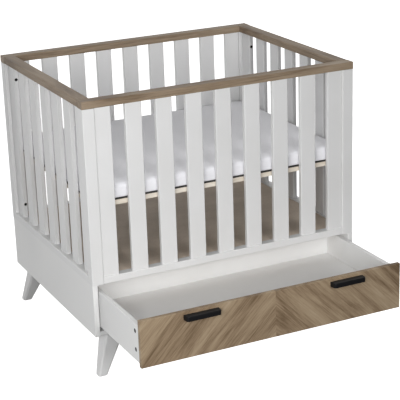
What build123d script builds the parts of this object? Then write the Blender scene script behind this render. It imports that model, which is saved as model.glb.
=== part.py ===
from build123d import *
import os

# Baby crib with slatted walls on a drawer housing with four splayed legs.
# Millimetres. X runs along the crib to the right, Y from the front to the back, Z up.
# The origin is on the floor under the middle of the crib's plan.
# The drawer is drawn pulled out by drawer_open.

# ---- Driving dimensions ----

# The whole crib
crib_length = 1000
crib_width = 800
leg_height = 150            # floor to the underside of the housing
housing_height = 182        # side boards, from their underside to the slatted frame
upright_height = 573        # slats, between the bottom and top rails

# Rails and corner posts
rail_width = 42
rail_height = 25
rail_radius = 3
post_depth = 36             # posts and the long bottom rails, along Y
post_radius = 3

# Slats and stiles
slat_thickness = 17
slat_width = 58
slat_radius = 3
slat_setback = 5            # long walls: slat face behind the face of its wall
long_wall_slats = 7
side_wall_slats = 5
long_wall_stile = 57
side_wall_stile = 63
tenon_width = 38
tenon_thickness = 8
tenon_length = 10
tenon_clearance = 0.15
tenon_end_gap = 1

# Connector bolts that hold the side walls to the posts
bolt_inset = 50             # bolt axis from the top and bottom rails
bolt_diameter = 6
bolt_length = 76
bolt_head_diameter = 11
bolt_head_height = 6
bolt_hex = 5                # across corners
bolt_hex_depth = 3
bolt_clearance = 0.3        # radial, round shank and head
bolt_head_sink = 0.6        # head below the edge of the stile

# Housing boards
side_board_thickness = 18
back_board_thickness = 16
board_radius = 1.5
housing_back_inset = 6      # housing shorter than the frame at the back
stretcher_thickness = 16
stretcher_width = 80
stretcher_setback = 2

# Floor panel between the bottom rails
hardboard_thickness = 4
rebate_width = 8
rebate_depth = 8
panel_clearance = 0.5
floor_batten_width = 42

# Legs
leg_top_size = 69
leg_foot_size = 33
leg_radius = 8
leg_top_inset_x = 78        # leg axis at its top, from the end of the crib
leg_top_inset_y = 47
leg_foot_inset = 21.5       # leg axis on the floor, from both faces
sole_chamfer = 2
leg_plate_size = 58
leg_plate_thickness = 3
leg_plate_hole = 5
leg_plate_hole_pitch = 42
leg_stud_diameter = 8
leg_stud_length = 40
leg_stud_clearance = 0.2

# Mattress base
base_height = 591           # floor to the underside of the base
base_clearance = 3          # to the slats all round
base_batten_width = 45
base_batten_thickness = 16
batten_gap = 0.2
bracket_width = 40
bracket_leg = 40
bracket_thickness = 2.5
bracket_hole_diameter = 6.4
bracket_hole_drop = 22      # bracket hole below the underside of the base
stile_hole_diameter = 5
stile_hole_depth = 11
base_positions = 3          # heights at which the brackets can be set
base_step = 90

# Mattress
mattress_thickness = 52
mattress_clearance = 1      # to the slats all round
mattress_seat = 0.3
mattress_edge_radius = 12

# Drawer
drawer_open = 333           # how far it is pulled out here
drawer_travel = 340         # from closed to the stops
drawer_side_gap = 3         # drawer to side board
drawer_top_gap = 2
drawer_bottom_gap = 4
drawer_board = 16
drawer_depth = 461          # front face to back face
drawer_side_drop = 20       # top of the sides below the top of the front
drawer_side_rise = 13       # underside of the sides above that of the front
drawer_edge_radius = 1.5
drawer_floor_rise = 36      # underside of the drawer's floor above that of its sides
groove_depth = 3
groove_clearance = 0.2

# Cam locks between the drawer's sides and its front
cam_diameter = 15
cam_depth = 11.5
cam_clearance = 0.2
cam_setback = 24            # cam axis behind the drawer front
cam_spacing = 64
cam_height = 38             # lower cam above the underside of the side
cam_slot_width = 2.5
cam_slot_length = 10
cam_slot_depth = 3
cam_bolt_bore = 7

# Handles: shells that are open below and behind, for the fingers
handle_inset = 211.5        # middle of a handle from the end of the drawer front
handle_drop = 18            # middle of the handle below the top of the drawer front
handle_length = 124         # along the drawer front
handle_height = 16
handle_reach = 25
handle_wall = 2.5
handle_slope = 2            # how far the ends lean in towards the grip
handle_radius = 8           # upright corners of the grip
handle_edge_radius = 2
handle_boss = 10            # solid ends that take the screws
handle_boss_reach = 12
handle_screw_bore = 4.4
handle_screw_depth = 9      # blind hole in the boss

# Roller runners under the drawer's floor
runner_space = 13           # bearer to the inside of the drawer side
runner_rise = 5             # underside of the channel above that of the drawer sides
runner_sheet = 1.2
runner_front_gap = 4        # behind the closed drawer front
runner_tail = 11            # channel behind its rear stop
channel_depth = 10
track_depth = 10.5
track_height = 16
track_headroom = 0.8
roller_diameter = 18
roller_width = 6.5
roller_chamfer = 1
roller_face_gap = 1         # roller to the web of the channel
run_gap = 0.3               # roller to its tracks
stop_height = 4             # stop tabs in the channel, above its floor
stop_gap = 0.3              # to the roller at either end of its travel
axle_diameter = 5
axle_clearance = 0.05
axle_end = 0.4              # axle beyond the roller's face
roller_end_distance = 12    # roller axis from the end of its runner
bearer_thickness = 20
bearer_height = 45

# ---- Levels and places that follow ----

half_length = crib_length / 2
half_width = crib_width / 2
housing_top = leg_height + housing_height
sill = housing_top + rail_height                # top of the bottom rails
rail_underside = sill + upright_height
crib_height = rail_underside + rail_height
post_inner_x = half_length - rail_width
post_inner_y = half_width - post_depth
side_slat_x = half_length - rail_width / 2      # middle of the side walls
slat_inner_x = side_slat_x - slat_thickness / 2
front_slat_y = -half_width + slat_setback + slat_thickness / 2
back_slat_y = post_inner_y + slat_setback + slat_thickness / 2
front_slat_inner_y = front_slat_y + slat_thickness / 2
back_slat_inner_y = back_slat_y - slat_thickness / 2
stretcher_top = leg_height + stretcher_thickness
board_inner_x = half_length - side_board_thickness
housing_back_y = half_width - housing_back_inset
floor_panel_z = sill - rebate_depth             # underside of the floor panel


def pitch(wall_length, stile, count):
    """Distance between the middles of slats that are spread evenly between two stiles."""
    gap = (wall_length - 2 * stile - count * slat_width) / (count + 1)
    return slat_width + gap


long_slat_pitch = pitch(2 * post_inner_x, long_wall_stile, long_wall_slats)
side_slat_pitch = pitch(2 * post_inner_y, side_wall_stile, side_wall_slats)
long_slat_xs = [(n - (long_wall_slats - 1) / 2) * long_slat_pitch for n in range(long_wall_slats)]
side_slat_ys = [(n - (side_wall_slats - 1) / 2) * side_slat_pitch for n in range(side_wall_slats)]
long_stile_x = post_inner_x - long_wall_stile / 2
side_stile_y = post_inner_y - side_wall_stile / 2
side_stile_edge_y = post_inner_y - side_wall_stile
long_upright_xs = [-long_stile_x, *long_slat_xs, long_stile_x]
side_upright_ys = [-side_stile_y, *side_slat_ys, side_stile_y]
bolt_levels = (sill + bolt_inset, rail_underside - bolt_inset)

side_signs = {"left": -1, "right": 1}
end_signs = {"front": -1, "back": 1}
slat_lines = {"front": front_slat_y, "back": back_slat_y}


def radius_past_corner(reach_x, reach_y, clearance):
    """Radius of a rounded corner that clears a post it would overlap by these reaches."""
    total = reach_x + reach_y + clearance
    return total + (total**2 - reach_x**2 - reach_y**2 + clearance**2) ** 0.5


def save(piece, name):
    """Labels a finished piece and writes it to its own file."""
    piece.part.label = name
    export_step(piece.part, f"parts/{name}.step")


def block(x, y, z, mode=Mode.ADD):
    """Adds or cuts a box that spans two limits along each axis, in either order."""
    with Locations([((x[0] + x[1]) / 2, (y[0] + y[1]) / 2, (z[0] + z[1]) / 2)]):
        Box(abs(x[1] - x[0]), abs(y[1] - y[0]), abs(z[1] - z[0]), mode=mode)


def cross_bore(x, y, z, diameter, mode=Mode.SUBTRACT):
    """Adds or cuts a cylinder along X between two limits."""
    with BuildSketch(Plane.YZ.offset(min(x))) as disc:
        with Locations((y, z)):
            Circle(diameter / 2)
    extrude(disc.sketch, amount=abs(x[1] - x[0]), mode=mode)


def long_bore(x, y, z, diameter, mode=Mode.SUBTRACT):
    """Adds or cuts a cylinder along Y between two limits."""
    with BuildSketch(Plane.XZ.offset(-max(y))) as disc:
        with Locations((x, z)):
            Circle(diameter / 2)
    extrude(disc.sketch, amount=abs(y[1] - y[0]), mode=mode)


os.makedirs("parts", exist_ok=True)

# ---- Uprights: slats and stiles with stub tenons ----


def upright(x, y, width, along_x):
    """Adds one rounded slat or stile with a stub tenon at each end."""
    turn = 0 if along_x else 90
    with BuildSketch(Plane.XY.offset(sill)) as section:
        with Locations(Location((x, y, 0), (0, 0, turn))):
            RectangleRounded(width, slat_thickness, slat_radius)
    extrude(section.sketch, amount=upright_height)
    with BuildSketch(Plane.XY.offset(sill - tenon_length)) as tenon:
        with Locations(Location((x, y, 0), (0, 0, turn))):
            Rectangle(tenon_width, tenon_thickness)
    extrude(tenon.sketch, amount=upright_height + 2 * tenon_length)


def mortises(points, face_z, direction, along_x):
    """Cuts the sockets for the tenons of the uprights at these points into a rail."""
    depth = tenon_length + tenon_end_gap
    long_side = tenon_width + 2 * tenon_clearance
    short_side = tenon_thickness + 2 * tenon_clearance
    size = (long_side, short_side) if along_x else (short_side, long_side)
    with BuildSketch(Plane.XY.offset(face_z)) as sockets:
        with Locations(points):
            Rectangle(*size)
    extrude(sockets.sketch, amount=direction * depth, mode=Mode.SUBTRACT)


def bolt_holes(side, end, y_far):
    """Cuts the two connector bolts' holes of one corner, up to y_far from the stile's edge."""
    for level in bolt_levels:
        shank = bolt_diameter + 2 * bolt_clearance
        long_bore(side * side_slat_x, (end * side_stile_edge_y, end * y_far), level, shank)


for end_name, end in end_signs.items():
    with BuildPart() as slats:
        for x in long_slat_xs:
            upright(x, slat_lines[end_name], slat_width, along_x=True)
    save(slats, f"slats_{end_name}")
    for side_name, side in side_signs.items():
        with BuildPart() as stile:
            upright(side * long_stile_x, slat_lines[end_name], long_wall_stile, along_x=True)
        save(stile, f"stile_{end_name}_{side_name}")

for side_name, side in side_signs.items():
    with BuildPart() as slats:
        for y in side_slat_ys:
            upright(side * side_slat_x, y, slat_width, along_x=False)
    save(slats, f"slats_{side_name}")
    for end_name, end in end_signs.items():
        with BuildPart() as stile:
            upright(side * side_slat_x, end * side_stile_y, side_wall_stile, along_x=False)
            bolt_holes(side, end, post_inner_y)
            head_bore = bolt_head_diameter + 2 * bolt_clearance
            head_seat = side_stile_edge_y + bolt_head_height + bolt_head_sink
            for level in bolt_levels:
                head_y = (end * side_stile_edge_y, end * head_seat)
                long_bore(side * side_slat_x, head_y, level, head_bore)
            for step in range(base_positions):
                hole_z = base_height - bracket_hole_drop - step * base_step
                hole_x = (side * slat_inner_x, side * (slat_inner_x + stile_hole_depth))
                cross_bore(hole_x, end * side_stile_y, hole_z, stile_hole_diameter)
        save(stile, f"stile_{side_name}_{end_name}")

# ---- Corner posts ----

for side_name, side in side_signs.items():
    for end_name, end in end_signs.items():
        with BuildPart() as post:
            block(
                (side * post_inner_x, side * half_length),
                (end * post_inner_y, end * half_width),
                (housing_top, rail_underside),
            )
            fillet(post.edges().filter_by(Axis.Z), post_radius)
            bolt_reach = side_stile_edge_y + bolt_head_sink + bolt_head_height + bolt_length
            bolt_holes(side, end, bolt_reach + tenon_end_gap)
        save(post, f"post_{end_name}_{side_name}")

# ---- Connector bolts ----

with BuildPart() as wall_bolts:
    for side in side_signs.values():
        for end in end_signs.values():
            face_y = side_stile_edge_y + bolt_head_sink
            seat_y = face_y + bolt_head_height
            for level in bolt_levels:
                head = (end * face_y, end * seat_y)
                shank = (end * seat_y, end * (seat_y + bolt_length))
                x = side * side_slat_x
                long_bore(x, head, level, bolt_head_diameter, Mode.ADD)
                long_bore(x, shank, level, bolt_diameter, Mode.ADD)
                with BuildSketch(Plane.XZ.offset(-end * face_y)):
                    with Locations((x, level)):
                        RegularPolygon(bolt_hex / 2, 6)
                extrude(amount=-end * bolt_hex_depth, mode=Mode.SUBTRACT)
save(wall_bolts, "wall_bolts")

# ---- Top rails ----

for end_name, end in end_signs.items():
    with BuildPart() as rail:
        rail_inner_y = half_width - rail_width
        block(
            (-half_length, half_length),
            (end * rail_inner_y, end * half_width),
            (rail_underside, crib_height),
        )
        fillet(rail.edges().filter_by(Axis.X), rail_radius)
        points = [(x, slat_lines[end_name]) for x in long_upright_xs]
        mortises(points, rail_underside, 1, along_x=True)
    save(rail, f"top_rail_{end_name}")

for side_name, side in side_signs.items():
    with BuildPart() as rail:
        block(
            (side * post_inner_x, side * half_length),
            (-rail_inner_y, rail_inner_y),
            (rail_underside, crib_height),
        )
        fillet(rail.edges().filter_by(Axis.Y), rail_radius)
        points = [(side * side_slat_x, y) for y in side_upright_ys]
        mortises(points, rail_underside, 1, along_x=False)
    save(rail, f"top_rail_{side_name}")

# ---- Bottom rails, with a rebate for the floor panel ----

for end_name, end in end_signs.items():
    with BuildPart() as rail:
        block(
            (-post_inner_x, post_inner_x),
            (end * post_inner_y, end * half_width),
            (housing_top, sill),
        )
        outer_edges = rail.edges().filter_by(Axis.X).sort_by(Axis.Y)
        fillet(outer_edges[:2] if end < 0 else outer_edges[-2:], rail_radius)
        block(
            (-post_inner_x, post_inner_x),
            (end * post_inner_y, end * (post_inner_y + rebate_width)),
            (floor_panel_z, sill),
            Mode.SUBTRACT,
        )
        points = [(x, slat_lines[end_name]) for x in long_upright_xs]
        mortises(points, sill, -1, along_x=True)
    save(rail, f"bottom_rail_{end_name}")

for side_name, side in side_signs.items():
    with BuildPart() as rail:
        block(
            (side * post_inner_x, side * half_length),
            (-post_inner_y, post_inner_y),
            (housing_top, sill),
        )
        top_edges = rail.edges().filter_by(Axis.Y).group_by(Axis.Z)[-1].sort_by(Axis.X)
        fillet(top_edges[0] if side < 0 else top_edges[-1], rail_radius)
        block(
            (side * post_inner_x, side * (post_inner_x + rebate_width)),
            (-post_inner_y, post_inner_y),
            (floor_panel_z, sill),
            Mode.SUBTRACT,
        )
        points = [(side * side_slat_x, y) for y in side_upright_ys]
        mortises(points, sill, -1, along_x=False)
    save(rail, f"bottom_rail_{side_name}")

# ---- Floor panel, notched round the posts, and the batten under it ----

with BuildPart() as floor_panel:
    with BuildSketch(Plane.XY.offset(floor_panel_z)):
        reach = rebate_width - panel_clearance
        inside_x = 2 * (post_inner_x - panel_clearance)
        inside_y = 2 * (post_inner_y - panel_clearance)
        Rectangle(2 * (post_inner_x + reach), inside_y)
        Rectangle(inside_x, 2 * (post_inner_y + reach))
    extrude(amount=hardboard_thickness)
save(floor_panel, "floor_panel")

with BuildPart() as floor_batten:
    block(
        (-floor_batten_width / 2, floor_batten_width / 2),
        (-post_inner_y, post_inner_y),
        (housing_top, floor_panel_z),
    )
save(floor_batten, "floor_batten")

# ---- Drawer housing ----

for side_name, side in side_signs.items():
    with BuildPart() as side_board:
        block(
            (side * board_inner_x, side * half_length),
            (-half_width, housing_back_y),
            (leg_height, housing_top),
        )
        upright_edges = side_board.edges().filter_by(Axis.Z)
        lower_edges = side_board.edges().filter_by(Axis.Y).group_by(Axis.Z)[0]
        fillet(upright_edges + lower_edges, board_radius)
    save(side_board, f"side_board_{side_name}")

with BuildPart() as back_board:
    block(
        (-board_inner_x, board_inner_x),
        (housing_back_y - back_board_thickness, housing_back_y),
        (stretcher_top, housing_top),
    )
save(back_board, "back_board")

stretcher_front_y = -half_width + stretcher_setback
stretcher_spans = {
    "front": (stretcher_front_y, stretcher_front_y + stretcher_width),
    "back": (housing_back_y - stretcher_width, housing_back_y),
}
for end_name, span in stretcher_spans.items():
    with BuildPart() as stretcher:
        block((-board_inner_x, board_inner_x), span, (leg_height, stretcher_top))
        fillet(stretcher.edges().filter_by(Axis.X), board_radius)
    save(stretcher, f"stretcher_{end_name}")

# ---- Splayed, tapered legs and their plates ----

leg_top_x = half_length - leg_top_inset_x
leg_top_y = half_width - leg_top_inset_y
foot_x = half_length - leg_foot_inset
foot_y = half_width - leg_foot_inset
leg_top_z = leg_height - leg_plate_thickness


def leg_outline(foot, top):
    """Corners of a leg seen along X or Y, from where its foot and its top have their middles."""
    foot_half = leg_foot_size / 2
    top_half = leg_top_size / 2
    return (
        (foot - foot_half, 0),
        (foot + foot_half, 0),
        (top + top_half, leg_top_z),
        (top - top_half, leg_top_z),
    )


def leg_axis(side, end, above):
    """Plane across a leg's axis, its normal running down the leg, some way above its top."""
    top = Vector(side * leg_top_x, end * leg_top_y, leg_top_z)
    foot = Vector(side * foot_x, end * foot_y, 0)
    return Plane(origin=top, z_dir=(foot - top).normalized()).offset(-above)


for side_name, side in side_signs.items():
    for end_name, end in end_signs.items():
        with BuildPart() as leg:
            with BuildSketch(Plane.XZ):
                Polygon(*leg_outline(side * foot_x, side * leg_top_x), align=None)
            extrude(amount=half_width, both=True)
            with BuildSketch(Plane.YZ):
                Polygon(*leg_outline(end * foot_y, end * leg_top_y), align=None)
            extrude(amount=half_length, both=True, mode=Mode.INTERSECT)
            fillet(leg.edges().group_by(Axis.Z)[1], leg_radius)
            sole = leg.faces().sort_by(Axis.Z)[0]
            chamfer(sole.edges(), sole_chamfer)
            with BuildSketch(leg_axis(side, end, leg_stud_diameter)):
                Circle(leg_stud_diameter / 2 + leg_stud_clearance)
            bore_length = leg_stud_diameter + leg_stud_length + tenon_end_gap
            extrude(amount=bore_length, mode=Mode.SUBTRACT)
        save(leg, f"leg_{end_name}_{side_name}")

with BuildPart() as leg_plates:
    for side in side_signs.values():
        for end in end_signs.values():
            middle = (side * leg_top_x, end * leg_top_y)
            with BuildSketch(Plane.XY.offset(leg_top_z)):
                with Locations(middle):
                    RectangleRounded(leg_plate_size, leg_plate_size, leg_radius)
                    with GridLocations(leg_plate_hole_pitch, leg_plate_hole_pitch, 2, 2):
                        Circle(leg_plate_hole / 2, mode=Mode.SUBTRACT)
            extrude(amount=leg_plate_thickness)
            with BuildSketch(leg_axis(side, end, leg_stud_diameter / 2)):
                Circle(leg_stud_diameter / 2)
            extrude(amount=leg_stud_diameter / 2 + leg_stud_length)
    block(
        (-half_length, half_length),
        (-half_width, half_width),
        (leg_height, leg_height + leg_stud_diameter),
        Mode.SUBTRACT,
    )
save(leg_plates, "leg_plates")

# ---- Mattress base on four corner brackets ----

base_x = slat_inner_x - base_clearance
base_front_y = front_slat_inner_y + base_clearance
base_back_y = back_slat_inner_y - base_clearance
base_post_x = post_inner_x - base_clearance         # the base is notched round the posts
base_post_y = post_inner_y - base_clearance
base_panel_z = base_height + base_batten_thickness
base_top = base_panel_z + hardboard_thickness

with BuildPart() as base_frame:
    batten_z = (base_height, base_panel_z)
    front_batten_y = base_front_y + base_batten_width
    back_batten_y = base_back_y - base_batten_width
    block((-base_post_x, base_post_x), (base_front_y, front_batten_y), batten_z)
    block((-base_post_x, base_post_x), (back_batten_y, base_back_y), batten_z)
    cross_reach = base_x - base_batten_width / 2
    cross_y = (front_batten_y + batten_gap, back_batten_y - batten_gap)
    for x in (-cross_reach, 0, cross_reach):
        cross_x = (x - base_batten_width / 2, x + base_batten_width / 2)
        block(cross_x, cross_y, batten_z)
save(base_frame, "base_frame")

with BuildPart() as base_panel:
    panel_z = (base_panel_z, base_top)
    block((-base_post_x, base_post_x), (base_front_y, base_back_y), panel_z)
    block((-base_x, base_x), (-base_post_y, base_post_y), panel_z)
save(base_panel, "base_panel")

with BuildPart() as base_brackets:
    for side in side_signs.values():
        for end in end_signs.values():
            y = end * side_stile_y
            span = (y - bracket_width / 2, y + bracket_width / 2)
            wall_x = side * slat_inner_x
            shelf_x = side * (slat_inner_x - bracket_leg)
            plate_x = side * (slat_inner_x - bracket_thickness)
            block((wall_x, shelf_x), span, (base_height - bracket_thickness, base_height))
            block((wall_x, plate_x), span, (base_height - bracket_leg, base_height))
            hole_z = base_height - bracket_hole_drop
            cross_bore((wall_x, plate_x), y, hole_z, bracket_hole_diameter)
save(base_brackets, "base_brackets")

with BuildPart() as mattress:
    mattress_x = slat_inner_x - mattress_clearance
    mattress_front_y = front_slat_inner_y + mattress_clearance
    mattress_back_y = back_slat_inner_y - mattress_clearance
    mattress_width = mattress_back_y - mattress_front_y
    corner_radius = radius_past_corner(
        mattress_x - post_inner_x,
        -mattress_front_y - post_inner_y,
        mattress_clearance,
    )
    with BuildSketch(Plane.XY.offset(base_top + mattress_seat)):
        with Locations((0, (mattress_front_y + mattress_back_y) / 2)):
            RectangleRounded(2 * mattress_x, mattress_width, corner_radius)
    extrude(amount=mattress_thickness)
    rims = mattress.edges().group_by(Axis.Z)
    fillet(rims[0] + rims[-1], mattress_edge_radius)
save(mattress, "mattress")

# ---- Drawer ----

front_face_y = -half_width - drawer_open
front_back_y = front_face_y + drawer_board
drawer_back_y = front_face_y + drawer_depth
drawer_x = board_inner_x - drawer_side_gap
drawer_inner_x = drawer_x - drawer_board
front_top = housing_top - drawer_top_gap
front_bottom = stretcher_top + drawer_bottom_gap
side_top = front_top - drawer_side_drop
side_bottom = front_bottom + drawer_side_rise
drawer_floor_z = side_bottom + drawer_floor_rise
groove_z = (
    drawer_floor_z - groove_clearance,
    drawer_floor_z + hardboard_thickness + groove_clearance,
)
cam_levels = (side_bottom + cam_height, side_bottom + cam_height + cam_spacing)
cam_y = front_back_y + cam_setback
side_middle_x = drawer_x - drawer_board / 2
handle_z = front_top - handle_drop
handle_x = drawer_x - handle_inset
handle_foot = handle_length / 2 - handle_wall - handle_boss / 2    # screw from the middle

with BuildPart() as drawer_front:
    block((-drawer_x, drawer_x), (front_face_y, front_back_y), (front_bottom, front_top))
    rim = drawer_front.faces().sort_by(Axis.Y)[0].edges()
    fillet(rim, drawer_edge_radius)
    groove_y = (front_back_y - groove_depth, front_back_y)
    block((-drawer_inner_x, drawer_inner_x), groove_y, groove_z, Mode.SUBTRACT)
    for side in side_signs.values():
        for level in cam_levels:
            dowel_y = (front_back_y - cam_depth, front_back_y)
            long_bore(side * side_middle_x, dowel_y, level, cam_bolt_bore)
        for foot in (-handle_foot, handle_foot):
            screw_x = side * handle_x + foot
            long_bore(screw_x, (front_face_y, front_back_y), handle_z, handle_screw_bore)
save(drawer_front, "drawer_front")

for side_name, side in side_signs.items():
    with BuildPart() as drawer_side:
        block(
            (side * drawer_inner_x, side * drawer_x),
            (front_back_y, drawer_back_y),
            (side_bottom, side_top),
        )
        top_edges = drawer_side.edges().filter_by(Axis.Y).group_by(Axis.Z)[-1]
        fillet(top_edges, drawer_edge_radius)
        groove_x = (side * drawer_inner_x, side * (drawer_inner_x + groove_depth))
        block(groove_x, (front_back_y, drawer_back_y), groove_z, Mode.SUBTRACT)
        for level in cam_levels:
            cam_x = (side * (drawer_x - cam_depth - cam_clearance), side * drawer_x)
            cross_bore(cam_x, cam_y, level, cam_diameter + 2 * cam_clearance)
            long_bore(side * side_middle_x, (front_back_y, cam_y), level, cam_bolt_bore)
    save(drawer_side, f"drawer_side_{side_name}")

with BuildPart() as drawer_back:
    block(
        (-drawer_inner_x, drawer_inner_x),
        (drawer_back_y - drawer_board, drawer_back_y),
        (drawer_floor_z + hardboard_thickness, side_top),
    )
    top_edges = drawer_back.edges().filter_by(Axis.X).group_by(Axis.Z)[-1]
    fillet(top_edges, drawer_edge_radius)
save(drawer_back, "drawer_back")

with BuildPart() as drawer_floor:
    edge = groove_depth - groove_clearance
    floor_z = (drawer_floor_z, drawer_floor_z + hardboard_thickness)
    inner_x = drawer_inner_x - groove_clearance
    block((-inner_x, inner_x), (front_back_y - edge, drawer_back_y), floor_z)
    tongue_x = drawer_inner_x + edge
    block((-tongue_x, tongue_x), (front_back_y + groove_clearance, drawer_back_y), floor_z)
save(drawer_floor, "drawer_floor")

with BuildPart() as drawer_cams:
    for side in side_signs.values():
        outer_x = side * (drawer_x - cam_clearance)
        inner_x = side * (drawer_x - cam_depth)
        for level in cam_levels:
            cross_bore((inner_x, outer_x), cam_y, level, cam_diameter, Mode.ADD)
            with BuildSketch(Plane.YZ.offset(outer_x)):
                with Locations((cam_y, level)):
                    Rectangle(cam_slot_length, cam_slot_width)
                    Rectangle(cam_slot_width, cam_slot_length)
            extrude(amount=-side * cam_slot_depth, mode=Mode.SUBTRACT)
save(drawer_cams, "drawer_cams")

# ---- Shell handles ----


def handle_outline(middle_x, inset):
    """Corners of a handle's plan, or of the hollow that its wall leaves, from left to right."""
    half_foot = handle_length / 2 - inset
    half_grip = half_foot - handle_slope
    grip_y = front_face_y - handle_reach + inset
    return (
        (middle_x - half_foot, front_face_y),
        (middle_x - half_grip, grip_y),
        (middle_x + half_grip, grip_y),
        (middle_x + half_foot, front_face_y),
    )


handle_base = handle_z - handle_height / 2
handle_top = handle_z + handle_height / 2

for side_name, side in side_signs.items():
    with BuildPart() as handle:
        middle_x = side * handle_x
        with BuildSketch(Plane.XY.offset(handle_base)) as plan:
            Polygon(*handle_outline(middle_x, 0), align=None)
            fillet(plan.vertices().group_by(Axis.Y)[0], handle_radius)
        extrude(plan.sketch, amount=handle_height)
        back_face = handle.faces().sort_by(Axis.Y)[-1]
        top_rim = handle.faces().sort_by(Axis.Z)[-1].edges() - back_face.edges()
        fillet(top_rim, handle_edge_radius)
        with BuildSketch(Plane.XY.offset(handle_base)) as hollow:
            Polygon(*handle_outline(middle_x, handle_wall), align=None)
            fillet(hollow.vertices().group_by(Axis.Y)[0], handle_radius - handle_wall)
            for end in (-1, 1):
                with Locations((middle_x + end * handle_foot, front_face_y)):
                    Rectangle(handle_boss, 2 * handle_boss_reach, mode=Mode.SUBTRACT)
        extrude(hollow.sketch, amount=handle_height - handle_wall, mode=Mode.SUBTRACT)
        for foot in (-handle_foot, handle_foot):
            screw_y = (front_face_y - handle_screw_depth, front_face_y)
            long_bore(middle_x + foot, screw_y, handle_z, handle_screw_bore)
    save(handle, f"handle_{side_name}")

# ---- Bearers and roller runners ----

bearer_x = drawer_inner_x - runner_space          # face that carries the channel
channel_z = side_bottom + runner_rise
channel_front_y = -half_width + drawer_board + runner_front_gap
roller_z = channel_z + runner_sheet + run_gap + roller_diameter / 2
track_z = roller_z + roller_diameter / 2 + run_gap
channel_top = track_z + runner_sheet + track_headroom + runner_sheet
roller_inner_x = bearer_x + runner_sheet + roller_face_gap
roller_outer_x = roller_inner_x + roller_width
front_roller_y = channel_front_y + roller_end_distance
back_roller_y = drawer_back_y - roller_end_distance
axle_drop = roller_diameter / 2 + run_gap - stop_height
stop_reach = ((roller_diameter / 2) ** 2 - axle_drop**2) ** 0.5 + stop_gap
open_stop_y = back_roller_y + drawer_open - drawer_travel - stop_reach
closed_stop_y = back_roller_y + drawer_open + stop_reach
channel_back_y = closed_stop_y + runner_sheet + runner_tail

for side_name, side in side_signs.items():
    with BuildPart() as bearer:
        block(
            (side * bearer_x, side * (bearer_x - bearer_thickness)),
            (channel_front_y, housing_back_y - back_board_thickness),
            (stretcher_top, stretcher_top + bearer_height),
        )
    save(bearer, f"bearer_{side_name}")

    with BuildPart() as channel:
        channel_y = (channel_front_y, channel_back_y)
        web_x = (side * bearer_x, side * (bearer_x + runner_sheet))
        flange_x = (side * bearer_x, side * (bearer_x + channel_depth))
        block(web_x, channel_y, (channel_z, channel_top))
        block(flange_x, channel_y, (channel_z, channel_z + runner_sheet))
        block(flange_x, channel_y, (channel_top - runner_sheet, channel_top))
        stop_z = (channel_z, channel_z + runner_sheet + stop_height)
        block(flange_x, (open_stop_y - runner_sheet, open_stop_y), stop_z)
        block(flange_x, (closed_stop_y, closed_stop_y + runner_sheet), stop_z)
        axle_x = (side * bearer_x, side * (roller_outer_x + axle_end))
        cross_bore(axle_x, front_roller_y, roller_z, axle_diameter, Mode.ADD)
    save(channel, f"cabinet_runner_{side_name}")

    with BuildPart() as track:
        track_y = (front_back_y, drawer_back_y)
        wall_x = (side * drawer_inner_x, side * (drawer_inner_x - runner_sheet))
        shelf_x = (side * drawer_inner_x, side * (drawer_inner_x - track_depth))
        block(wall_x, track_y, (track_z + runner_sheet - track_height, track_z + runner_sheet))
        block(shelf_x, track_y, (track_z, track_z + runner_sheet))
        axle_x = (side * drawer_inner_x, side * (roller_inner_x - axle_end))
        cross_bore(axle_x, back_roller_y, roller_z, axle_diameter, Mode.ADD)
    save(track, f"drawer_runner_{side_name}")

    for end_name, roller_y in (("front", front_roller_y), ("back", back_roller_y)):
        with BuildPart() as roller:
            roller_x = (side * roller_inner_x, side * roller_outer_x)
            cross_bore(roller_x, roller_y, roller_z, roller_diameter, Mode.ADD)
            chamfer(roller.edges(), roller_chamfer)
            axle_bore = axle_diameter + 2 * axle_clearance
            cross_bore(roller_x, roller_y, roller_z, axle_bore)
        save(roller, f"roller_{end_name}_{side_name}")
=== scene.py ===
# %% [markdown]
# # A baby crib with a drawer in its base
# The crib's rigid parts are already modelled at their real size. This lesson dresses them:
# it gives every part its finish, makes the mattress out of simulated cloth, adds the small
# screws, and sets up a white studio. All lengths are in metres.

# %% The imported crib
import math

import bpy
import numpy as np
from mathutils import Matrix, Vector


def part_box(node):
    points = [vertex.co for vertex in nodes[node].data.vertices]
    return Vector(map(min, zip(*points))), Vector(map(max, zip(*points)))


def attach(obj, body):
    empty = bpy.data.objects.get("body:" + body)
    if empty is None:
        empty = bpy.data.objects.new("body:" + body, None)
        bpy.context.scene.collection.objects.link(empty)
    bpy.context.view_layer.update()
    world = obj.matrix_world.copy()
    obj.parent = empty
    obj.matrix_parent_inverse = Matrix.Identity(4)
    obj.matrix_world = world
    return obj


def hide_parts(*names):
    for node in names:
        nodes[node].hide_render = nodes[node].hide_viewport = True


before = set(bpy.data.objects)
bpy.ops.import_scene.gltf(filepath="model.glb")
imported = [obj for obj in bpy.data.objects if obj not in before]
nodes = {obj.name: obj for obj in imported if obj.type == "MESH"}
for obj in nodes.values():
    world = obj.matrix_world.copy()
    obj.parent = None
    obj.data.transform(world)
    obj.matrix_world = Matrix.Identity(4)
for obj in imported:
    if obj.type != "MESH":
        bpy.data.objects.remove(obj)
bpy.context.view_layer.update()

# %% [markdown]
# ## Two small helpers
# An operator works on everything that is selected, so each piece starts with an empty
# selection. A new piece ends with its modifiers applied and its object back at the origin,
# so that patterns on Object coordinates keep their real scale. Working in bmesh would need no
# selection at all, but these are the same steps as by hand.


# %% Selection and finishing helpers
def deselect():
    """Leaves Object Mode with nothing selected."""
    if bpy.context.object and bpy.context.object.mode != "OBJECT":
        bpy.ops.object.mode_set(mode="OBJECT")
    bpy.ops.object.select_all(action="DESELECT")


def only(piece):
    """Selects one object and makes it the active one."""
    deselect()
    piece.select_set(True)
    bpy.context.view_layer.objects.active = piece


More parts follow.
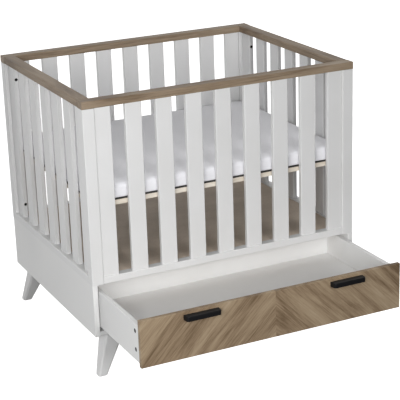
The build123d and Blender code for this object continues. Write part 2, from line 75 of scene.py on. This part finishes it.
def settle(piece):
    """Applies a finished piece's modifiers and its place, turn and scale."""
    only(piece)
    for modifier in list(piece.modifiers):
        bpy.ops.object.modifier_apply(modifier=modifier.name)
    bpy.ops.object.transform_apply(location=True, rotation=True, scale=True)
    return piece


# %% [markdown]
# ## Building blocks for finishes
# Every finish is a Principled shader with a little noise in it. Short functions add the
# nodes: noise on stretched coordinates, a colour ramp, a range of roughness, and a bump.
# They could be drawn by hand in the node editor, but each finish would repeat the same dozen
# nodes. Values that are the same all over are set straight on the shader.


# %% Materials, nodes and links
def new_finish(name, color, roughness, **sockets):
    """A material and its one Principled shader. In socket names, _ stands for a space."""
    material = bpy.data.materials.new(name)
    material.use_nodes = True
    shader = material.node_tree.nodes["Principled BSDF"]
    shader.inputs["Base Color"].default_value = (*color, 1)
    shader.inputs["Roughness"].default_value = roughness
    for socket, value in sockets.items():
        shader.inputs[socket.replace("_", " ")].default_value = value
    return material, shader


def add_node(material, kind, **inputs):
    """A node with some of its inputs set. In input names, _ stands for a space."""
    node = material.node_tree.nodes.new(kind)
    for name, value in inputs.items():
        node.inputs[name.replace("_", " ")].default_value = value
    return node


def wire(material, source, target):
    """Links an output socket to an input socket."""
    material.node_tree.links.new(source, target)


# %% Patterns
def places(material, stretch=(1, 1, 1), turn=(0, 0, 0)):
    """Object coordinates, turned and stretched by a Mapping node."""
    where = material.node_tree.nodes.new("ShaderNodeTexCoord")
    mapping = add_node(material, "ShaderNodeMapping", Scale=stretch, Rotation=turn)
    wire(material, where.outputs["Object"], mapping.inputs["Vector"])
    return mapping.outputs["Vector"]


def noise(material, vector, scale, detail=4.0, distortion=0.0, roughness=0.5):
    """Noise at a scale in features per metre. Returns its 0 to 1 output."""
    node = add_node(
        material,
        "ShaderNodeTexNoise",
        Scale=scale,
        Detail=detail,
        Distortion=distortion,
        Roughness=roughness,
    )
    wire(material, vector, node.inputs["Vector"])
    return node.outputs["Fac"]


def ramp(material, factor, stops):
    """A colour ramp through (place, colour) stops."""
    node = material.node_tree.nodes.new("ShaderNodeValToRGB")
    elements = node.color_ramp.elements
    while len(elements) < len(stops):
        elements.new(0.5)
    for element, (place, color) in zip(elements, stops):
        element.position = place
        element.color = (*color, 1)
    wire(material, factor, node.inputs["Fac"])
    return node.outputs["Color"]


NOISE_LOW, NOISE_HIGH = 0.35, 0.65


def spread(material, factor, low, high):
    """A noise factor, whose values lie mostly near its middle, spread between two values."""
    node = add_node(
        material,
        "ShaderNodeMapRange",
        From_Min=NOISE_LOW,
        From_Max=NOISE_HIGH,
        To_Min=low,
        To_Max=high,
    )
    wire(material, factor, node.inputs["Value"])
    return node.outputs["Result"]


# %% Bump, sums, and giving parts their finish
def bump(material, shader, height, strength, distance):
    """Bump from a height of 0 to 1, where 1 stands for a distance in metres."""
    node = add_node(material, "ShaderNodeBump", Strength=strength, Distance=distance)
    wire(material, height, node.inputs["Height"])
    wire(material, node.outputs["Normal"], shader.inputs["Normal"])


def dress(material, *names):
    """Gives CAD nodes one material."""
    for name in names:
        mesh = nodes[name].data
        mesh.materials.clear()
        mesh.materials.append(material)


def math_node(material, operation, *operands):
    """A Math node. Each operand is a socket or a number."""
    node = material.node_tree.nodes.new("ShaderNodeMath")
    node.operation = operation
    for socket, operand in zip(node.inputs, operands):
        if isinstance(operand, (int, float)):
            socket.default_value = operand
        else:
            wire(material, operand, socket)
    return node.outputs["Value"]


def times(material, factor, share):
    """A noise factor multiplied by its share in a sum."""
    return math_node(material, "MULTIPLY", factor, share)


# %% [markdown]
# ## White lacquer
# Slats, stiles, posts, bottom rails and legs are lacquered white. Sprayed lacquer on wood
# isn't perfectly even: it has a faint orange-peel bump, a trace of the grain under it, and a
# sheen and a tone that change a little from place to place. One material could cover all of
# them, but the grain follows each piece's length, so there are three, one for each axis.

# %% Lacquer
LACQUER = (0.80, 0.80, 0.80)
LACQUER_DULL = (0.775, 0.775, 0.77)
ALONG_GRAIN = 0.04


def lacquer(name, stretch):
    """White lacquer with its faint grain running along the axis with the smallest stretch."""
    material, shader = new_finish(name, LACQUER, 0.42, Coat_Weight=0.12, Coat_Roughness=0.3)
    soft = noise(material, places(material), 7, 3)
    color = ramp(material, soft, [(0.3, LACQUER_DULL), (0.7, LACQUER)])
    wire(material, color, shader.inputs["Base Color"])
    wire(material, spread(material, soft, 0.36, 0.48), shader.inputs["Roughness"])
    grain = noise(material, places(material, stretch), 260, 3)
    peel = noise(material, places(material), 900, 2)
    height = math_node(material, "ADD", times(material, grain, 0.6), times(material, peel, 0.4))
    bump(material, shader, height, 0.12, 0.0004)
    return material


ends = ("front", "back")
sides = ("left", "right")
corners = [(end, side) for end in ends for side in sides]
uprights = [f"slats_{wall}" for wall in (*ends, *sides)]
for end, side in corners:
    uprights += [f"stile_{end}_{side}", f"stile_{side}_{end}"]
    uprights += [f"post_{end}_{side}", f"leg_{end}_{side}"]

lacquer_upright = lacquer("lacquer_upright", (1, 1, ALONG_GRAIN))
lacquer_x = lacquer("lacquer_along_crib", (ALONG_GRAIN, 1, 1))
lacquer_y = lacquer("lacquer_across_crib", (1, ALONG_GRAIN, 1))
dress(lacquer_upright, *uprights)
dress(lacquer_x, "bottom_rail_front", "bottom_rail_back")
dress(lacquer_y, "bottom_rail_left", "bottom_rail_right")
print("lacquered uprights:", len(uprights))

# %% [markdown]
# ## White boards
# The housing and the drawer's box are boards with a white coating. It is pressed on, not
# sprayed, so it has no grain. It has a fine pearl in the surface and very slow clouds of
# tone. It could share the lacquer, but beside real wood that shows as one plastic white.

# %% White boards
board, board_shader = new_finish("white_board", (0.84, 0.84, 0.835), 0.38)
pearl = noise(board, places(board), 700, 3)
cloud = noise(board, places(board), 4, 3)
whites = ramp(board, cloud, [(0.3, (0.82, 0.82, 0.81)), (0.7, (0.845, 0.845, 0.84))])
wire(board, whites, board_shader.inputs["Base Color"])
wire(board, spread(board, cloud, 0.33, 0.45), board_shader.inputs["Roughness"])
bump(board, board_shader, pearl, 0.1, 0.0003)
dress(board, "side_board_left", "side_board_right", "back_board")
dress(board, "stretcher_front", "stretcher_back", "bearer_left", "bearer_right")
dress(board, "drawer_side_left", "drawer_side_right", "drawer_back", "drawer_floor")
print("white boards:", board.name)

# %% [markdown]
# ## Wood decor
# The top rails and the drawer front share one grey-brown oak decor. Oak shows long streaks
# with fine pores along them. Both are noise that is drawn out along the grain. On the rails
# the grain follows the rail. On the drawer front it runs at 45 degrees and turns round at
# the middle, so the pattern is read from the distance to the middle.
#
# Two flat halves with a seam between them would need two pieces. Folding the coordinates
# makes the same chevron on one board. The halves don't mirror each other, because each reads
# its pattern at another place along Y.

# %% Oak
TONE_STOPS = (0.36, 0.45, 0.53, 0.66)
# The drawer front's tones are the rails' decor painted lighter: painted light that stands in for
# the light on the front.
FRONT_TONES_PAINTED_LIGHT = (
    (0.145, 0.096, 0.054),
    (0.265, 0.188, 0.118),
    (0.375, 0.282, 0.184),
    (0.480, 0.378, 0.265),
)
RAIL_TONES = (
    (0.115, 0.076, 0.046),
    (0.215, 0.154, 0.100),
    (0.310, 0.236, 0.163),
    (0.410, 0.326, 0.240),
)
FRONT_FIGURE = (0.13, 13, 0.9)
RAIL_FIGURE = (0.11, 15, 0.8)


def oak(name, specular, tones, figure, grain_of):
    """Oak whose grain runs along X of the vector that grain_of makes from Object coordinates.

    The figure is how far its bands are stretched, how many there are in a metre, and how wavy
    they are.
    """
    stretch, pace, waviness = figure
    material, shader = new_finish(name, tones[1], 0.52, Specular_IOR_Level=specular)
    vector = grain_of(material)

    def drawn_out(along_grain):
        mapping = add_node(material, "ShaderNodeMapping", Scale=(along_grain, 1, 1))
        wire(material, vector, mapping.inputs["Vector"])
        return mapping.outputs["Vector"]

    bands = noise(material, drawn_out(stretch), pace, 6, waviness, 0.62)
    lines = noise(material, drawn_out(0.035), 230, 6, 0.5, 0.7)
    pores = noise(material, drawn_out(0.05), 700, 2)
    both = math_node(material, "ADD", times(material, bands, 0.66), times(material, lines, 0.34))
    color = ramp(material, both, list(zip(TONE_STOPS, tones)))
    wire(material, color, shader.inputs["Base Color"])
    wire(material, spread(material, lines, 0.45, 0.62), shader.inputs["Roughness"])
    height = math_node(material, "ADD", times(material, lines, 0.5), times(material, pores, 0.5))
    bump(material, shader, height, 0.3, 0.0005)
    return material


# %% Grain that turns, and grain that folds
SLANT = math.radians(-45)
HALVES_APART = 0.37


def turned_grain(material):
    """Grain across the crib."""
    return places(material, turn=(0, 0, math.radians(90)))


def folded_grain(material):
    """Grain at 45 degrees that turns round at the middle of the drawer front."""
    split = material.node_tree.nodes.new("ShaderNodeSeparateXYZ")
    wire(material, places(material), split.inputs["Vector"])
    side_of_middle = math_node(material, "SIGN", split.outputs["X"])
    half = times(material, side_of_middle, HALVES_APART)
    folded = material.node_tree.nodes.new("ShaderNodeCombineXYZ")
    wire(material, math_node(material, "ABSOLUTE", split.outputs["X"]), folded.inputs["X"])
    wire(material, math_node(material, "ADD", split.outputs["Y"], half), folded.inputs["Y"])
    wire(material, split.outputs["Z"], folded.inputs["Z"])
    slanted = add_node(material, "ShaderNodeMapping", Rotation=(0, SLANT, 0))
    wire(material, folded.outputs["Vector"], slanted.inputs["Vector"])
    return slanted.outputs["Vector"]


# %% Oak on the rails and the drawer front
oak_x = oak("oak_along_crib", 0.33, RAIL_TONES, RAIL_FIGURE, places)
dress(oak_x, "top_rail_front", "top_rail_back")
oak_y = oak("oak_across_crib", 0.33, RAIL_TONES, RAIL_FIGURE, turned_grain)
dress(oak_y, "top_rail_left", "top_rail_right")
chevron = oak("oak_chevron", 0.25, FRONT_TONES_PAINTED_LIGHT, FRONT_FIGURE, folded_grain)
dress(chevron, "drawer_front")
print("oak:", oak_x.name, oak_y.name, chevron.name)

# %% [markdown]
# ## Hardboard and birch
# The floor panel between the bottom rails and the panel under the mattress are thin
# hardboard, with short matted fibres and slow blotches. One function makes both from two tones
# each. The floor panel's tones are partly the board's own colour and partly painted light: they
# are far paler than brown hardboard, to stand in for light that falls under the base. The panel
# under the mattress is much the darker one, near black: partly the hardboard's own brown and
# partly painted shade for the shadow gap under the mattress's rounded lower edge. The battens
# are bare birch. Their rings are one noise, drawn out along the crib.

# %% Hardboard and birch
def fibreboard(name, dark, pale):
    """Hardboard between two tones."""
    material, shader = new_finish(name, pale, 0.6)
    fibre = noise(material, places(material), 90, 6, 1.0, 0.7)
    blotch = noise(material, places(material, (0.4, 1, 1)), 9, 4)
    tone = math_node(material, "ADD", times(material, fibre, 0.4), times(material, blotch, 0.6))
    color = ramp(material, tone, [(0.35, dark), (0.65, pale)])
    wire(material, color, shader.inputs["Base Color"])
    wire(material, spread(material, fibre, 0.5, 0.7), shader.inputs["Roughness"])
    bump(material, shader, fibre, 0.2, 0.0005)
    return material


# Pale tones: partly the board's own colour, partly painted light for the light that falls under
# the base.
floor_board_painted_light = fibreboard("floor_hardboard_painted_light", (0.68, 0.565, 0.455), (0.88, 0.755, 0.63))
dress(floor_board_painted_light, "floor_panel")
# Near-black tones: partly the hardboard's own brown, partly painted shade for the gap under the
# mattress.
base_board_painted_shade = fibreboard("base_hardboard_painted_shade", (0.025, 0.022, 0.020), (0.045, 0.040, 0.036))
dress(base_board_painted_shade, "base_panel")

birch, birch_shader = new_finish("birch", (0.78, 0.71, 0.60), 0.5)
rings = noise(birch, places(birch, (0.08, 1, 1)), 60, 4, 0.8)
woods = ramp(birch, rings, [(0.35, (0.72, 0.64, 0.53)), (0.65, (0.82, 0.76, 0.67))])
wire(birch, woods, birch_shader.inputs["Base Color"])
wire(birch, spread(birch, rings, 0.45, 0.6), birch_shader.inputs["Roughness"])
bump(birch, birch_shader, rings, 0.15, 0.0004)
dress(birch, "base_frame", "floor_batten")
print("boards and battens:", floor_board_painted_light.name, base_board_painted_shade.name, birch.name)

# %% [markdown]
# ## Metal and plastic
# The handles and wall bolts are matt black with a fine grit. The cam locks are dark zinc, and
# the leg plates and brackets are zinc plated, with soft spangles in their sheen. The runners
# are white enamelled steel, and their rollers nylon that lets a little light in. The small
# parts are mostly one tone, so noise works on their bump and sheen only, not on their colour.

# %% Dark metal
black, black_shader = new_finish(
    "black_powder_coat", (0.009, 0.009, 0.010), 0.55, Specular_IOR_Level=0.2
)
grit = noise(black, places(black), 1500, 2)
wire(black, spread(black, grit, 0.4, 0.55), black_shader.inputs["Roughness"])
bump(black, black_shader, grit, 0.3, 0.0002)
dress(black, "handle_left", "handle_right", "wall_bolts")

zinc, zinc_shader = new_finish("dark_zinc", (0.05, 0.05, 0.055), 0.4, Metallic=0.8)
bump(zinc, zinc_shader, noise(zinc, places(zinc), 900, 3), 0.2, 0.0002)
dress(zinc, "drawer_cams")
print("dark metal:", black.name, zinc.name)

# %% Pale metal and the rollers
steel, steel_shader = new_finish("zinc_plated_steel", (0.55, 0.56, 0.57), 0.35, Metallic=1.0)
spangle = noise(steel, places(steel), 120, 4)
wire(steel, spread(steel, spangle, 0.28, 0.45), steel_shader.inputs["Roughness"])
dress(steel, "leg_plates", "base_brackets")

enamel, enamel_shader = new_finish(
    "white_enamelled_steel", (0.68, 0.68, 0.67), 0.3, Coat_Weight=0.3
)
bump(enamel, enamel_shader, noise(enamel, places(enamel), 500, 2), 0.1, 0.0002)
dress(enamel, *[f"{body}_runner_{side}" for body in ("cabinet", "drawer") for side in sides])

nylon, nylon_shader = new_finish("white_nylon", (0.74, 0.74, 0.71), 0.45, Subsurface_Weight=0.1)
bump(nylon, nylon_shader, noise(nylon, places(nylon), 1200, 2), 0.1, 0.0001)
dress(nylon, *[f"roller_{end}_{side}" for end, side in corners])
print("pale metal and plastic:", steel.name, enamel.name, nylon.name)

# %% [markdown]
# ## The mattress
# The mattress is a foam block in a plain cotton cover. It fills the space between the slats,
# and it is a little higher in the middle than along its edges. A bevelled box alone would look
# hard and flat, and an edge moved by hand never looks quite like cloth. So the block is
# remeshed and blown up as cloth with air inside it. It starts a millimetre in at each side,
# and a few millimetres low, which leaves room for the crown.

# %% Sizes of the foam block under the cover
mattress_low, mattress_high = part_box("mattress")
TOP_SLACK = 0.005
SIDE_SLACK = 0.001
LIFT = 0.0004
TOP_EDGE = 0.016
BOTTOM_EDGE = 0.003
CORNER = 0.045
print("mattress, mm:", [round(v * 1000) for v in mattress_high - mattress_low])

# %% The foam block
deselect()
slack = Vector((2 * SIDE_SLACK, 2 * SIDE_SLACK, TOP_SLACK + LIFT))
room = mattress_high - mattress_low - slack
centre = (mattress_low + mattress_high) / 2 + Vector((0, 0, (LIFT - TOP_SLACK) / 2))
bpy.ops.mesh.primitive_cube_add(size=1, location=centre, scale=room)
cover = bpy.context.object
cover.name = "mattress_cover"
bpy.ops.object.transform_apply(location=True, rotation=True, scale=True)


def select_edges(piece, test):
    """Selects, in Edit Mode, the edges whose two ends pass a test."""
    only(piece)
    bpy.ops.object.mode_set(mode="EDIT")
    bpy.ops.mesh.select_mode(type="EDGE")
    bpy.ops.mesh.select_all(action="DESELECT")
    bpy.ops.object.mode_set(mode="OBJECT")
    points = [vertex.co.copy() for vertex in piece.data.vertices]
    for edge in piece.data.edges:
        first, second = (points[n] for n in edge.vertices)
        edge.select = bool(test(first, second))
    bpy.ops.object.mode_set(mode="EDIT")


middle = (mattress_low.z + mattress_high.z) / 2
select_edges(cover, lambda a, b: (a.z - middle) * (b.z - middle) < 0)
bpy.ops.mesh.bevel(offset=CORNER, segments=8)
select_edges(cover, lambda a, b: a.z > middle and b.z > middle)
bpy.ops.mesh.bevel(offset=TOP_EDGE, segments=5)
select_edges(cover, lambda a, b: a.z < middle and b.z < middle)
bpy.ops.mesh.bevel(offset=BOTTOM_EDGE, segments=2)
bpy.ops.object.mode_set(mode="OBJECT")
print("foam block:", len(cover.data.polygons), "faces")

# %% [markdown]
# ## Blowing up the cover
# The cloth has a little pressure inside and no gravity. With nothing to hold it down, its top
# balloons by centimetres and pulls the sides in. All of that movement is scaled down by one
# factor, so that the point that moves furthest moves by RISE. Capping each point instead would
# leave the top flat, because nearly all of it would reach the cap. The underside is then laid
# flat on the base.

# %% Cloth
RISE = 0.0048
VOXEL = 0.006
PRESSURE = 4
STEPS = 20


def shape(piece):
    """The piece's points as an array."""
    points = np.empty(len(piece.data.vertices) * 3)
    piece.data.vertices.foreach_get("co", points)
    return points.reshape(-1, 3)


only(cover)
cover.data.remesh_voxel_size = VOXEL
bpy.ops.object.voxel_remesh()
before = shape(cover)
bpy.ops.object.modifier_add(type="CLOTH")
cloth = cover.modifiers[-1]
cloth.settings.use_pressure = True
cloth.settings.uniform_pressure_force = PRESSURE
cloth.settings.effector_weights.gravity = 0
cloth.settings.tension_stiffness = 10
cloth.settings.bending_stiffness = 0.5
scene = bpy.context.scene
for moment in range(1, STEPS + 1):
    scene.frame_set(moment)
bpy.ops.object.modifier_apply(modifier=cloth.name)
scene.frame_set(1)
moved = shape(cover) - before
reach = float(np.linalg.norm(moved, axis=1).max())
after = before + moved * min(1, RISE / reach)
after[:, 2] = np.maximum(after[:, 2], mattress_low.z + LIFT)
cover.data.vertices.foreach_set("co", after.ravel())
cover.data.update()
print("cover points:", len(before))
print("ballooned by", round(reach * 1000, 1), "mm before scaling")
cover_low, cover_high = after.min(axis=0), after.max(axis=0)
print("cover box, mm:", (cover_low * 1000).round(1), (cover_high * 1000).round(1))
only(cover)
bpy.ops.object.modifier_add(type="SUBSURF")
cover.modifiers[-1].levels = cover.modifiers[-1].render_levels = 1
settle(cover)
bpy.ops.object.shade_smooth()

# %% [markdown]
# ## Cotton
# Plain weave is two sets of threads that cross at right angles. Two band waves make their
# bump. Slow noise adds the shallow creases of a cover that was folded once, and fine noise
# the faint unevenness of washed cotton. Modelled threads would be millions of faces for a
# relief that is only just seen.

# %% Cotton
cotton, cotton_shader = new_finish("cotton_cover", (0.86, 0.86, 0.89), 0.9, Sheen_Weight=0.3)
threads = []
for direction in ("X", "Y"):
    band = add_node(
        cotton, "ShaderNodeTexWave", Scale=180, Distortion=0.6, Detail=1, Detail_Scale=2
    )
    band.bands_direction = direction
    wire(cotton, places(cotton), band.inputs["Vector"])
    threads.append(band.outputs["Fac"])
weave = math_node(cotton, "MAXIMUM", *threads)
creases = noise(cotton, places(cotton, (1, 0.5, 1)), 9, 3, 0.4)
fluff = noise(cotton, places(cotton), 350, 3)
whites = ramp(cotton, fluff, [(0.3, (0.83, 0.83, 0.865)), (0.7, (0.87, 0.87, 0.90))])
wire(cotton, whites, cotton_shader.inputs["Base Color"])
wire(cotton, spread(cotton, fluff, 0.82, 0.95), cotton_shader.inputs["Roughness"])
relief = math_node(cotton, "ADD", times(cotton, weave, 0.04), creases)
bump(cotton, cotton_shader, relief, 0.5, 0.006)
cover.data.materials.append(cotton)
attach(cover, "frame")
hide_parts("mattress")
print("mattress cover:", len(cover.data.polygons), "faces")

# %% [markdown]
# ## Small screws
# Pan-head screws hold the handles from inside the drawer front, the corner brackets under the
# mattress, and the runners. Only their heads show. One head is modelled: a short cylinder
# with a rounded rim, and a cross recess cut by two thin boxes. The recess could be drawn by
# bump alone, but its shadow is what makes a head look like a screw from close by.


# %% One screw head
RIM = 0.55
RECESS_WIDTH = 0.28
RECESS_LENGTH = 1.1
RECESS_DEPTH = 1.1


def screw_head(radius, height):
    """A pan head at the origin that faces up, with a cross recess."""
    deselect()
    bpy.ops.mesh.primitive_cylinder_add(
        vertices=24, radius=radius, depth=height, location=(0, 0, height / 2)
    )
    head = bpy.context.object
    settle(head)
    select_edges(head, lambda a, b: a.z > 0.9 * height and b.z > 0.9 * height)
    bpy.ops.mesh.bevel(offset=RIM * height, segments=3)
    bpy.ops.object.mode_set(mode="OBJECT")
    for across, along in ((RECESS_WIDTH, RECESS_LENGTH), (RECESS_LENGTH, RECESS_WIDTH)):
        deselect()
        bpy.ops.mesh.primitive_cube_add(
            size=1,
            location=(0, 0, height),
            scale=(across * radius, along * radius, RECESS_DEPTH * height),
        )
        cutter = bpy.context.object
        only(head)
        bpy.ops.object.modifier_add(type="BOOLEAN")
        head.modifiers[-1].operation = "DIFFERENCE"
        head.modifiers[-1].object = cutter
        settle(head)
        only(cutter)
        bpy.ops.object.delete()
    return head


# %% [markdown]
# ## Setting the screws
# The head is copied to each place, each copy with its own mesh, and turned to face away from
# its surface. The copies of one kind are joined, so that each kind is one piece that rides on
# one body. The heads in the runners are low, because the rollers pass over them. The screws
# come in pairs, left and right, so their places are worked out from a few distances.


# %% Copies of a head
SMOOTH_ANGLE = math.radians(40)


def fasten(name, body, head, spots):
    """Copies of a head at places with outward normals, joined as one piece of a body."""
    copies = []
    for place, normal in spots:
        only(head)
        bpy.ops.object.duplicate(linked=False)
        copy = bpy.context.object
        copy.location = place
        copy.rotation_euler = Vector(normal).to_track_quat("Z", "Y").to_euler()
        copies.append(settle(copy))
    only(head)
    bpy.ops.object.delete()
    deselect()
    for copy in copies:
        copy.select_set(True)
    bpy.context.view_layer.objects.active = copies[0]
    bpy.ops.object.join()
    group = bpy.context.object
    group.name = name
    bpy.ops.object.shade_smooth_by_angle(angle=SMOOTH_ANGLE)
    group.data.materials.append(steel)
    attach(group, body)
    print(name, len(spots), "heads,", len(group.data.polygons), "faces")


# %% The brackets' and handles' screws
SIGNS = (-1, 1)
BRACKET_X, BRACKET_Y, BRACKET_Z = 0.468, 0.3325, 0.569
HANDLE_X, HANDLE_FOOT, HANDLE_Y, HANDLE_Z = 0.2675, 0.0545, -0.717, 0.312

bracket_spots = [
    ((side * BRACKET_X, end * BRACKET_Y, BRACKET_Z), (-side, 0, 0))
    for side in SIGNS
    for end in SIGNS
]
fasten("bracket_screws", "frame", screw_head(0.0050, 0.0026), bracket_spots)
handle_spots = [
    ((side * HANDLE_X + foot * HANDLE_FOOT, HANDLE_Y, HANDLE_Z), (0, 1, 0))
    for side in SIGNS
    for foot in SIGNS
]
fasten("handle_screws", "drawer", screw_head(0.0040, 0.0024), handle_spots)

# %% The runners' screws
DRAWER_RUNNER_X, DRAWER_RUNNER_Z = 0.4618, 0.199
DRAWER_RUNNER_YS = (-0.690, -0.500, -0.310)
CABINET_RUNNER_X, CABINET_RUNNER_Z = 0.4512, 0.1995
CABINET_RUNNER_YS = (-0.320, -0.150, 0.020)

drawer_runner_spots = [
    ((side * DRAWER_RUNNER_X, y, DRAWER_RUNNER_Z), (-side, 0, 0))
    for side in SIGNS
    for y in DRAWER_RUNNER_YS
]
fasten("drawer_runner_screws", "drawer", screw_head(0.0035, 0.0014), drawer_runner_spots)
cabinet_runner_spots = [
    ((side * CABINET_RUNNER_X, y, CABINET_RUNNER_Z), (side, 0, 0))
    for side in SIGNS
    for y in CABINET_RUNNER_YS
]
fasten("cabinet_runner_screws", "frame", screw_head(0.0035, 0.0005), cabinet_runner_spots)

# %% [markdown]
# ## The studio floor
# The crib stands on a seamless white sweep. A real one is paper that curves up behind the
# object. Here it is one plane, so large that its edge is never seen. It only shows as white,
# and sends no light back, so it doesn't brighten the underside of the crib.

# %% Floor
FLOOR_SIZE = 200
FLOOR_DROP = 0.0005

deselect()
bpy.ops.mesh.primitive_plane_add(size=FLOOR_SIZE, location=(0, 0, -FLOOR_DROP))
floor = bpy.context.object
floor.name = "studio_floor"
settle(floor)
floor_finish, floor_shader = new_finish("studio_floor", (0.9, 0.9, 0.9), 0.9)
floor_shader.inputs["Emission Color"].default_value = (1, 1, 1, 1)
floor_shader.inputs["Emission Strength"].default_value = 1.0
floor.data.materials.append(floor_finish)
floor.visible_diffuse = False
floor.visible_glossy = False
print("floor:", FLOOR_SIZE, "m wide")

# %% [markdown]
# ## The sky
# A white wall behind the crib sends soft light forward. It could be another large lamp, but a
# sky that grows brighter towards +Y does the same with no edge that shows in the gloss. To
# the camera the sky is plain white all round.

# %% Sky
SKY_ALL = 0.02
SKY_BACK = 1.15
world = bpy.data.worlds.new("white_sky")
bpy.context.scene.world = world
world.use_nodes = True
sky = world.node_tree.nodes
links = world.node_tree.links
direction = sky.new("ShaderNodeTexCoord")
parts = sky.new("ShaderNodeSeparateXYZ")
slope = sky.new("ShaderNodeMapRange")
slope.inputs["From Min"].default_value = 0
slope.inputs["From Max"].default_value = 1
slope.inputs["To Min"].default_value = SKY_ALL
slope.inputs["To Max"].default_value = SKY_ALL + SKY_BACK
links.new(direction.outputs["Generated"], parts.inputs["Vector"])
links.new(parts.outputs["Y"], slope.inputs["Value"])
seen = sky.new("ShaderNodeLightPath")
strength = sky.new("ShaderNodeMath")
strength.operation = "MAXIMUM"
links.new(slope.outputs["Result"], strength.inputs[0])
links.new(seen.outputs["Is Camera Ray"], strength.inputs[1])
links.new(strength.outputs["Value"], sky["Background"].inputs["Strength"])
sky["Background"].inputs["Color"].default_value = (1, 1, 1, 1)
print("sky:", SKY_ALL, "in front, up to", SKY_ALL + SKY_BACK, "behind")

# %% [markdown]
# ## The lamps
# The key lamp is straight ahead and low: it lights the inside of the open drawer as far as
# its back. A smaller lamp stands near the front left corner. It lights the left edges of the
# front slats and the front edges of the slats in the left wall, and its light falls off along
# that wall. A weak one beside it fills the left wall, one on the right keeps that side from
# going dark, and one from above lights the mattress and the tops of the rails. All five are
# wide, because small lamps would throw hard shadows of every slat.


# %% Lamps
CRIB_CENTRE = (0, 0, 0.5)


def lamp(name, place, target, size, power):
    """A square area lamp that faces a point. The size is in metres, the power in watts."""
    deselect()
    bpy.ops.object.light_add(type="AREA", location=place)
    light = bpy.context.object
    light.name = name
    light.data.size = size
    light.data.energy = power
    light.rotation_euler = (Vector(target) - Vector(place)).to_track_quat("-Z", "Y").to_euler()
    print(name, place, power, "W")


lamp("key_lamp", (0, -5.0, 1.93), CRIB_CENTRE, 1.5, 84)
lamp("corner_lamp", (-1.8, -2.6, 1.2), CRIB_CENTRE, 1.5, 46)
lamp("side_lamp", (-2.4, -1.5, 1.2), (-0.3, 0, 0.5), 1.5, 7)
lamp("right_lamp", (3.4, 0.5, 1.1), CRIB_CENTRE, 2.0, 22)
lamp("top_lamp", (0, -0.4, 3.6), (0, -0.2, 0.5), 2.0, 16)
bpy.context.scene.view_settings.view_transform = "Standard"

# %% [markdown]
# ## The camera
# A long lens from a little above, turned to the crib's front left corner. The camera could
# track an empty object, but then it couldn't lean. Three directions that are square to each
# other say exactly how it stands: to its right, up, and ahead.

# %% Camera
CAMERA_PLACE = (-1.9744, -4.3152, 2.0424)
AZIMUTH, ELEVATION, ROLL = math.radians(25.59), math.radians(18.84), math.radians(-1.90)
LENS_MM = 123.534
FAR_LIMIT = 100

level = math.cos(ELEVATION)
ahead = Vector((math.sin(AZIMUTH) * level, math.cos(AZIMUTH) * level, -math.sin(ELEVATION)))
right = Vector((math.cos(AZIMUTH), -math.sin(AZIMUTH), 0))
up = right.cross(ahead)
tilted_right = right * math.cos(ROLL) + up * math.sin(ROLL)
tilted_up = up * math.cos(ROLL) - right * math.sin(ROLL)
deselect()
bpy.ops.object.camera_add()
camera = bpy.context.object
camera.matrix_world = Matrix((tilted_right, tilted_up, -ahead)).transposed().to_4x4()
camera.location = CAMERA_PLACE
camera.data.lens = LENS_MM
camera.data.clip_end = FAR_LIMIT
bpy.context.scene.camera = camera
print("camera:", camera.location, "lens", round(camera.data.lens, 1))
